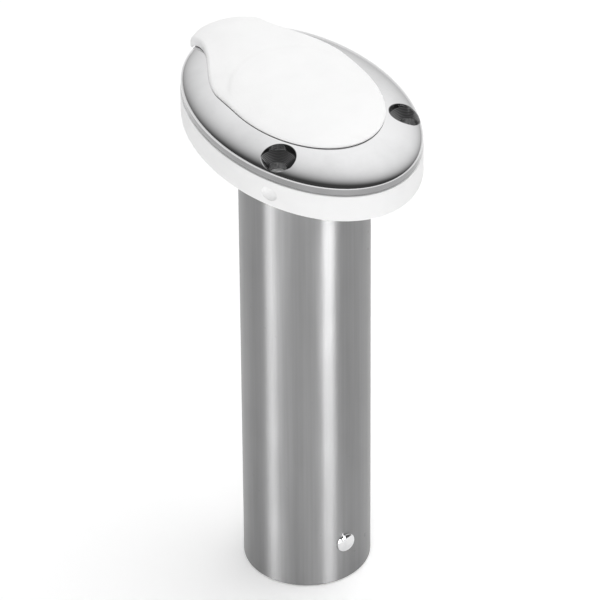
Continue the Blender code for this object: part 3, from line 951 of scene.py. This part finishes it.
class CapForm:
    """Plan and heights of the cap, worked out once from the frame and the sizes."""

    def __init__(self):
        self.sizes = soft_sizes()
        self.steel = steel_sizes()
        self.front = lip_recess() + self.sizes.front_lap
        self.half_width = CAP_HIGH.y
        self.low = WEB_HIGH.z + self.steel.lip_gap
        self.crown = CAP_HIGH.z
        self.fullness = CAP_FULLNESS
        side = dome_height(0.0, self.half_width) + self.sizes.cap_gap + self.sizes.cap_edge
        share = ((side - self.low) / (self.crown - self.low)) ** self.fullness
        ratio = (1.0 - share) ** (1.0 / self.fullness)
        back = CAP_LOW.x - CAP_END_MARGIN
        self.form_length = (self.front - back) / (1.0 + ratio)
        self.form_centre = back + self.form_length
        self.form_width = self.half_width / ratio

    def outline(self, count):
        """Evenly spaced points round the cap's plan, starting at the front."""
        sizes = self.sizes
        half = []
        for i in range(61):
            turn = math.pi / 2 * i / 60
            half.append((sizes.oval_shift + (self.front - sizes.oval_shift) * math.cos(turn),
                         self.half_width * math.sin(turn)))
        end = FLANGE_LOW.x + sizes.taper_rest
        for i in range(1, 61):
            share = i / 60
            blend = (1.0 + math.cos(math.pi * share)) / 2
            half.append((sizes.taper_start + (end - sizes.taper_start) * share,
                         sizes.strap_half + (self.half_width - sizes.strap_half) * blend))
        corner = (CAP_LOW.x + sizes.strap_corner, sizes.strap_half - sizes.strap_corner)
        half += arc(corner, sizes.strap_corner, 90, 180, 24)
        loop = np.array(half + [(x, -y) for x, y in reversed(half)])
        away = loop - np.array([self.form_centre, 0.0])
        share = np.hypot(away[:, 0] / self.form_length, away[:, 1] / self.form_width)
        away *= np.minimum(1.0, 0.985 / np.maximum(share, 1e-9))[:, None]
        loop = away + np.array([self.form_centre, 0.0])
        steps = np.hypot(*(np.roll(loop, -1, axis=0) - loop).T)
        run = np.concatenate(([0.0], np.cumsum(steps)))
        wanted = np.linspace(0.0, run[-1], count, endpoint=False)
        closed = np.vstack((loop, loop[:1]))
        across = np.interp(wanted, run, closed[:, 0])
        along = np.interp(wanted, run, closed[:, 1])
        return np.stack((across, along), axis=1)

    def top(self, plan, inset):
        """Height of the outer face at places in plan that lie so far inside the outline."""
        sizes = self.sizes
        share = np.hypot((plan[:, 0] - self.form_centre) / self.form_length, plan[:, 1] / self.form_width)
        rise = np.maximum(1.0 - share ** self.fullness, 0.0) ** (1.0 / self.fullness)
        height = self.low + (self.crown - self.low) * rise
        brim = 1.0 - smooth((inset - 0.45 * sizes.brim_width) / sizes.brim_width)
        from_crown = np.hypot(plan[:, 0] + 0.002, plan[:, 1])
        behind = smooth((-plan[:, 0] - 0.008) / 0.008)
        strap = smooth((from_crown - sizes.root_radius) / 0.0016 + 0.5) * behind
        return height - sizes.brim_drop * brim - sizes.root_step * strap

    def under(self, plan):
        """Height of the inner face, which follows the dome."""
        gap = self.sizes.cap_gap
        height = dome_height(plan[:, 0], plan[:, 1], self.steel.dome_rise + gap, self.sizes.strap_gap)
        return np.maximum(height, self.low)


def inset_of(plan, loop):
    """Distance of each place in plan from the outline."""
    start = loop
    along = np.roll(loop, -1, axis=0) - loop
    size = np.maximum((along ** 2).sum(axis=1), 1e-18)
    best = np.full(len(plan), 1.0)
    for origin, step, square in zip(start, along, size):
        offset = plan - origin
        share = np.clip(offset @ step / square, 0.0, 1.0)
        best = np.minimum(best, np.hypot(*(offset - share[:, None] * step).T))
    return best


def cap_plans(form, loop, rounding):
    """Rings in plan from the outline to the spine: a rounded edge first, then an even field."""
    along = np.roll(loop, -1, axis=0) - np.roll(loop, 1, axis=0)
    inward = np.stack((-along[:, 1], along[:, 0]), axis=1)
    inward /= np.linalg.norm(inward, axis=1, keepdims=True)
    plans = [loop + inward * rounding * (1.0 - math.cos(math.radians(turn))) for turn in range(0, 91, 15)]
    back, front = CAP_LOW.x + 0.016, form.front - 0.024
    share = (loop[:, 0] - CAP_LOW.x) / (form.front - CAP_LOW.x)
    spine = np.stack((back + (front - back) * smooth(share), np.zeros(len(loop))), axis=1)
    for i in range(1, 37):
        part = i / 36
        plans.append(plans[6] + (spine - plans[6]) * part)
    return plans


def build_cap_shell(form):
    """Soft shell over the dome that narrows to the strap and wraps over the rim."""
    count = 280
    loop = form.outline(count)
    outer = cap_plans(form, loop, form.sizes.cap_round)
    inner = cap_plans(form, loop, form.sizes.cap_low_round)
    wall = form.top(loop, np.zeros(count)) - form.under(loop)
    upper = np.minimum(form.sizes.cap_round, 0.62 * wall)
    lower = np.minimum(form.sizes.cap_low_round, 0.2 * wall)
    rings = []
    for step, plan in reversed(list(enumerate(outer))):
        drop = upper * (1.0 - math.sin(math.radians(min(15 * step, 90))))
        rings.append((plan, form.top(plan, inset_of(plan, loop)) - drop))
    edge_top = rings[-1][1]
    edge_low = form.under(loop) + lower
    for share in (0.35, 0.7, 1.0):
        rings.append((loop, edge_top + (edge_low - edge_top) * share))
    for step, plan in enumerate(inner[1:7]):
        swing = math.radians(15 * (step + 1))
        rings.append((plan, form.under(plan) + lower * (1.0 - math.sin(swing))))
    for plan in inner[7:]:
        rings.append((plan, form.under(plan)))
    body = bmesh.new()
    loops = []
    for plan, height in rings:
        loops.append([body.verts.new((x, y, z)) for (x, y), z in zip(plan, height)])
    for first, second in zip(loops, loops[1:]):
        for i in range(count):
            j = (i + 1) % count
            body.faces.new((first[i], first[j], second[j], second[i]))
    bmesh.ops.remove_doubles(body, verts=body.verts, dist=2e-6)
    return link("cap_shell", body)


def plug_form(form):
    """Ribbed plug under the cap."""
    sizes = form.sizes
    outer = LINER_HIGH.x - sizes.lip_step - sizes.liner_wall - sizes.plug_gap
    inner = outer - sizes.plug_wall
    top = form.crown - PLUG_TOP_DROP
    bottom = form.crown - PLUG_ROOT_DROP - sizes.plug_depth
    rib = sizes.plug_rib
    profile = [(outer, top)]
    for level in PLUG_RIB_LEVELS:
        height = bottom + sizes.plug_depth * (1.0 - level)
        profile += [(outer, height + 1.4 * rib)]
        profile += arc((outer, height), rib, 60, -60, 4)
        profile += [(outer, height - 1.4 * rib)]
    profile += arc((outer - rib, bottom + rib), rib, 0, -90, 4)
    profile += arc((inner + rib, bottom + rib), rib, -90, -180, 4)
    profile.append((inner, top))
    return turned("plug", profile, 160, closed=True)


def notch_form(form):
    """Scoop for a thumb at the cap's front."""
    sizes = form.sizes
    radius = sizes.notch_radius
    face = float(dome_height(form.front, 0.0)) + sizes.cap_gap
    body = bmesh.new()
    bmesh.ops.create_uvsphere(body, u_segments=96, v_segments=64, radius=radius)
    notch = link("notch", body)
    notch.scale = NOTCH_STRETCH
    notch.location = (form.front + sizes.notch_ahead, 0.0, face + sizes.notch_rise)
    return applied(notch)


def build_cap():
    form = CapForm()
    cap = build_cap_shell(form)
    cap = boolean(cap, plug_form(form), "UNION")
    cap = boolean(cap, notch_form(form))
    cap.name = "cap_with_strap"
    shade(cap)
    return cap


def build_web():
    """Living hinge: a thin web whose ends are set into the ear and the strap."""
    gap = steel_sizes().lip_gap
    low = WEB_LOW.z - gap - WEB_BITE
    high = WEB_HIGH.z + gap + WEB_BITE
    middle = (low + high) / 2
    centre = (WEB_LOW.x + WEB_HIGH.x) / 2
    half = WEB_HIGH.y
    rings = []
    for i in range(49):
        height = low + (high - low) * i / 48
        waist = 1.0 - WEB_WAIST * math.exp(-((height - middle) / WEB_WAIST_HEIGHT) ** 2)
        thick = (WEB_HIGH.x - WEB_LOW.x) / 2 * waist
        ring = []
        for turn in range(0, 360, 15):
            swing = math.radians(turn)
            x = math.copysign(abs(math.cos(swing)) ** 0.5, math.cos(swing)) * thick
            y = math.copysign(abs(math.sin(swing)) ** 0.25, math.sin(swing)) * half
            ring.append((centre + x, y, height))
        rings.append(ring)
    web = skinned("strap_web", rings)
    shade(web)
    return web


# Operators


class RODHOLDER_OT_flange(bpy.types.Operator):
    """Build the polished flange with its mouth and three countersinks"""
    bl_idname = "rodholder.flange"
    bl_label = "Flange"

    def execute(self, context):
        flange = build_flange()
        place_piece(flange, "holder", polished_steel(), "polished_steel", "flange")
        mark_countersinks(flange, machined_steel_painted_shade())
        mark_rim(flange, rim_steel_painted_shade())
        return {"FINISHED"}


class RODHOLDER_OT_tube(bpy.types.Operator):
    """Build the satin tube and finish the weld at its top"""
    bl_idname = "rodholder.tube"
    bl_label = "Tube"

    def execute(self, context):
        tube = build_tube()
        strip_lit().objects.link(tube)
        place_piece(tube, "holder", satin_steel_with_painted_shade(), "brushed_steel", "tube")
        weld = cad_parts["tube_weld"]
        weld.data.materials.clear()
        weld.data.materials.append(weld_steel())
        return {"FINISHED"}


class RODHOLDER_OT_pin(bpy.types.Operator):
    """Build the cross pin and the polished domes that close its ends"""
    bl_idname = "rodholder.pin"
    bl_label = "Cross Pin"

    def execute(self, context):
        steel = round_steel("pin_steel", finishes().pin, 0.18, 0.28)
        pin, front, back = build_pin(), build_knob(1), build_knob(-1)
        for piece in (pin, front, back):
            strip_lit().objects.link(piece)
        place_piece(pin, "holder", steel, "pin_steel", "gimbal_pin")
        bright = round_steel("pin_dome_steel", finishes().knob, 0.07, 0.13)
        place_piece(front, "holder", bright, "pin_dome_steel", "pin_weld_front")
        place_piece(back, "holder", bright, "pin_dome_steel", "pin_weld_back")
        return {"FINISHED"}


class RODHOLDER_OT_liner(bpy.types.Operator):
    """Build the plastic liner inside the tube"""
    bl_idname = "rodholder.liner"
    bl_label = "Liner"

    def execute(self, context):
        white = moulded_white("white_liner", finishes().liner, 3500.0, 0.000010, 0.34, 0.46)
        place_piece(build_liner(), "holder", white, "white_liner", "liner")
        return {"FINISHED"}


class RODHOLDER_OT_gasket(bpy.types.Operator):
    """Build the thick gasket under the flange"""
    bl_idname = "rodholder.gasket"
    bl_label = "Gasket"

    def execute(self, context):
        white = moulded_white("white_gasket", finishes().gasket, 3000.0, 0.000012, 0.46, 0.60)
        place_piece(build_gasket(), "holder", white, "white_gasket", "gasket")
        return {"FINISHED"}


class RODHOLDER_OT_cap(bpy.types.Operator):
    """Build the soft cap with its strap, plug and thumb notch"""
    bl_idname = "rodholder.cap"
    bl_label = "Cap"

    def execute(self, context):
        white = moulded_white("white_cap", finishes().cap, 2600.0, 0.000050, 0.44, 0.56)
        place_piece(build_cap(), "cap", white, "white_cap", "cap")
        return {"FINISHED"}


class RODHOLDER_OT_web(bpy.types.Operator):
    """Build the web that hinges the strap on the gasket"""
    bl_idname = "rodholder.web"
    bl_label = "Strap Hinge"

    def execute(self, context):
        web = build_web()
        white = moulded_white("white_web", finishes().gasket, 3000.0, 0.000012, 0.46, 0.58)
        web.data.materials.append(white)
        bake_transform(web)
        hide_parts("strap_hinge")
        return {"FINISHED"}


# Stage


def stage_directions():
    """Unit vectors in plan: towards the camera, and towards its right."""
    turn = bpy.context.scene.rod_holder_studio.azimuth
    return Vector((math.sin(turn), -math.cos(turn), 0.0)), Vector((math.cos(turn), math.sin(turn), 0.0))


def around(degrees, distance, height):
    """A place so many degrees to the right of the camera, seen from the object."""
    forward, right = stage_directions()
    turn = math.radians(degrees)
    place = forward * math.cos(turn) * distance + right * math.sin(turn) * distance
    return place + Vector((0.0, 0.0, height))


def strip_lit():
    """Collection of the pieces that the upright strips light: the satin tube and its pin."""
    return bpy.data.collections.get("strip_lit") or bpy.data.collections.new("strip_lit")


def panel(name, place, aim, width, height, radiance):
    """Soft rectangular lamp whose surface has the given brightness."""
    lamp = bpy.data.lights.new(name, "AREA")
    lamp.shape = "RECTANGLE"
    lamp.size = width
    lamp.size_y = height
    lamp.energy = radiance * math.pi * width * height
    item = bpy.data.objects.new(name, lamp)
    item.location = place
    item.rotation_euler = (aim - place).to_track_quat("-Z", "Y").to_euler()
    item.visible_camera = False
    bpy.context.scene.collection.objects.link(item)
    return item


def build_floor(studio):
    """Pale floor that stays white around the object's own soft shadow."""
    body = bmesh.new()
    bmesh.ops.create_circle(body, cap_ends=True, segments=96, radius=studio.floor_radius)
    floor = link("studio_floor", body)
    floor.location = (0.0, 0.0, TUBE_LOW.z - 0.0002)
    material, tree, shader = new_material("studio_floor", Roughness=0.9, Specular_IOR_Level=0.0)
    shader.inputs["Base Color"].default_value = (*studio.floor, 1.0)
    rays = add(tree, "ShaderNodeLightPath")
    seen = maths(tree, "MAXIMUM", rays.outputs["Is Camera Ray"], rays.outputs["Is Glossy Ray"])
    seen = maths(tree, "MAXIMUM", seen, rays.outputs["Is Transmission Ray"])
    glow = add(tree, "ShaderNodeEmission", {"Color": (1.0, 1.0, 1.0, 1.0),
                                            "Strength": maths(tree, "MULTIPLY", seen, 0.21)})
    both = add(tree, "ShaderNodeAddShader", {0: shader.outputs[0], 1: glow.outputs[0]})
    tree.links.new(both.outputs[0], tree.nodes["Material Output"].inputs["Surface"])
    floor.data.materials.append(material)


def build_surround():
    """Round surround seen only in reflections: one broad pale glow behind and above, dark elsewhere."""
    body = bmesh.new()
    bmesh.ops.create_uvsphere(body, u_segments=64, v_segments=48, radius=SURROUND_RADIUS)
    low = [vert for vert in body.verts if vert.co.z < TUBE_LOW.z + SURROUND_CLEARANCE]
    bmesh.ops.delete(body, geom=low, context="VERTS")
    surround = link("surround", body)
    surround.visible_camera = False
    surround.visible_diffuse = False
    surround.visible_shadow = False
    surround.visible_transmission = False
    material = bpy.data.materials.new("surround")
    material.use_nodes = True
    tree = material.node_tree
    tree.nodes.remove(tree.nodes["Principled BSDF"])
    way = add(tree, "ShaderNodeVectorMath", {0: object_place(tree)}, operation="NORMALIZE").outputs[0]
    centre = around(174, 0.724, 0.69).normalized()
    facing = add(tree, "ShaderNodeVectorMath", {0: way, 1: centre}, operation="DOT_PRODUCT")
    lobe = spread(tree, facing.outputs["Value"], 0.08, 1.0, 0.0, 1.0)
    lobe = maths(tree, "MULTIPLY", lobe, lobe)
    level = maths(tree, "ADD", maths(tree, "MULTIPLY", lobe, SURROUND_GLOW), SURROUND_FLOOR)
    glow = add(tree, "ShaderNodeEmission", {"Strength": level})
    tree.links.new(glow.outputs[0], tree.nodes["Material Output"].inputs["Surface"])
    surround.data.materials.append(material)


def build_world():
    """Soft surround: a broad pale glow overhead, mid grey lower down and pale at the horizon."""
    world = bpy.data.worlds.new("studio_world")
    world.use_nodes = True
    tree = world.node_tree
    direction = add(tree, "ShaderNodeTexCoord").outputs["Generated"]
    height = add(tree, "ShaderNodeSeparateXYZ", {0: direction}).outputs["Z"]
    centre = around(150, 0.55, 1.0).normalized()
    facing = add(tree, "ShaderNodeVectorMath", {0: direction, 1: centre}, operation="DOT_PRODUCT")
    glow = spread(tree, facing.outputs["Value"], 0.52, 0.96, 0.0, 1.0)
    glow = maths(tree, "MULTIPLY", maths(tree, "MULTIPLY", glow, glow), 0.95)
    low = spread(tree, height, 0.0, 0.5, 0.90, 0.38)
    background = tree.nodes["Background"]
    tree.links.new(maths(tree, "ADD", glow, low), background.inputs["Strength"])
    background.inputs["Color"].default_value = (1.0, 1.0, 1.0, 1.0)
    bpy.context.scene.world = world


def build_lamps():
    """Overhead softbox and front fill, and upright strips that draw the streaks along the tube."""
    aim = Vector((0.0, 0.0, -0.03))
    softbox = panel("overhead_softbox", around(125, 0.42, 1.15), aim, 1.25, 1.05, 1.10)
    fill = panel("front_fill", around(-5, 1.35, 0.30), aim, 1.1, 0.7, 2.2)
    for lamp in (softbox, fill):
        lamp.visible_glossy = False
    strips = (("right_strip", 37, 0.55, 0.20, 0.20, 0.5, 20.0),
              ("left_strip", -57, 1.15, 0.25, 0.34, 0.9, 11.0),
              ("left_wash", -41, 1.15, 0.25, 0.26, 0.9, 3.6),
              ("left_far_wash", -27, 1.15, 0.25, 0.28, 0.9, 1.9),
              ("front_wash", 2, 1.15, 0.25, 0.80, 0.9, 1.1),
              ("back_left_strip", -120, 1.15, 0.25, 0.05, 0.8, 4.0),
              ("back_right_strip", 150, 1.15, 0.25, 0.10, 0.8, 4.0))
    for name, turn, away, height, width, tall, radiance in strips:
        strip = panel(name, around(turn, away, height), aim, width, tall, radiance)
        strip.visible_diffuse = False
        strip.light_linking.receiver_collection = strip_lit()


def build_camera(studio):
    """Camera at the studio's viewing angle."""
    turn, tilt, roll = studio.azimuth, studio.elevation, studio.roll
    right = Vector((math.cos(turn), math.sin(turn), 0.0))
    back = Vector((math.sin(turn) * math.cos(tilt), -math.cos(turn) * math.cos(tilt), math.sin(tilt)))
    up = back.cross(right)
    rolled_right = right * math.cos(roll) + up * math.sin(roll)
    rolled_up = up * math.cos(roll) - right * math.sin(roll)
    place = right * studio.aim_side + Vector((0.0, 0.0, studio.aim_height)) + back * studio.distance
    data = bpy.data.cameras.new("studio_camera")
    data.sensor_width = 36.0
    data.lens = studio.lens
    data.clip_end = 50.0
    camera = bpy.data.objects.new("studio_camera", data)
    turned_to = Matrix((rolled_right, rolled_up, back)).transposed().to_4x4()
    camera.matrix_world = Matrix.Translation(place) @ turned_to
    bpy.context.scene.collection.objects.link(camera)
    bpy.context.scene.camera = camera


class RODHOLDER_OT_stage(bpy.types.Operator):
    """Build the floor, the surround, the lamps and the camera"""
    bl_idname = "rodholder.stage"
    bl_label = "Studio"

    def execute(self, context):
        studio = context.scene.rod_holder_studio
        build_floor(studio)
        build_surround()
        build_world()
        build_lamps()
        build_camera(studio)
        context.scene.view_settings.view_transform = "Standard"
        return {"FINISHED"}


class RODHOLDER_PT_panel(bpy.types.Panel):
    """Buttons for each group of pieces, and the finishes"""
    bl_idname = "RODHOLDER_PT_panel"
    bl_label = "Rod Holder"
    bl_space_type = "VIEW_3D"
    bl_region_type = "UI"
    bl_category = "Rod Holder"

    def draw(self, context):
        layout = self.layout
        for operator in OPERATORS:
            layout.operator(operator.bl_idname)
        for owner in ("rod_holder_steel", "rod_holder_soft", "rod_holder_finishes", "rod_holder_studio"):
            group = getattr(context.scene, owner)
            box = layout.box()
            for field in group.bl_rna.properties:
                if field.identifier not in ("rna_type", "name"):
                    box.prop(group, field.identifier)


GROUPS = {
    "rod_holder_steel": SteelSizes,
    "rod_holder_soft": SoftSizes,
    "rod_holder_finishes": Finishes,
    "rod_holder_studio": Studio,
}
OPERATORS = (
    RODHOLDER_OT_stage,
    RODHOLDER_OT_flange,
    RODHOLDER_OT_tube,
    RODHOLDER_OT_pin,
    RODHOLDER_OT_liner,
    RODHOLDER_OT_gasket,
    RODHOLDER_OT_cap,
    RODHOLDER_OT_web,
)


def register():
    for name, group in GROUPS.items():
        bpy.utils.register_class(group)
        setattr(bpy.types.Scene, name, PointerProperty(type=group))
    for item in (*OPERATORS, RODHOLDER_PT_panel):
        bpy.utils.register_class(item)


def unregister():
    for item in (RODHOLDER_PT_panel, *reversed(OPERATORS)):
        bpy.utils.unregister_class(item)
    for name, group in reversed(GROUPS.items()):
        delattr(bpy.types.Scene, name)
        bpy.utils.unregister_class(group)


def main():
    register()
    bpy.ops.rodholder.stage()
    bpy.ops.rodholder.flange()
    bpy.ops.rodholder.tube()
    bpy.ops.rodholder.pin()
    bpy.ops.rodholder.liner()
    bpy.ops.rodholder.gasket()
    bpy.ops.rodholder.cap()
    bpy.ops.rodholder.web()


if __name__ == "__main__":
    main()
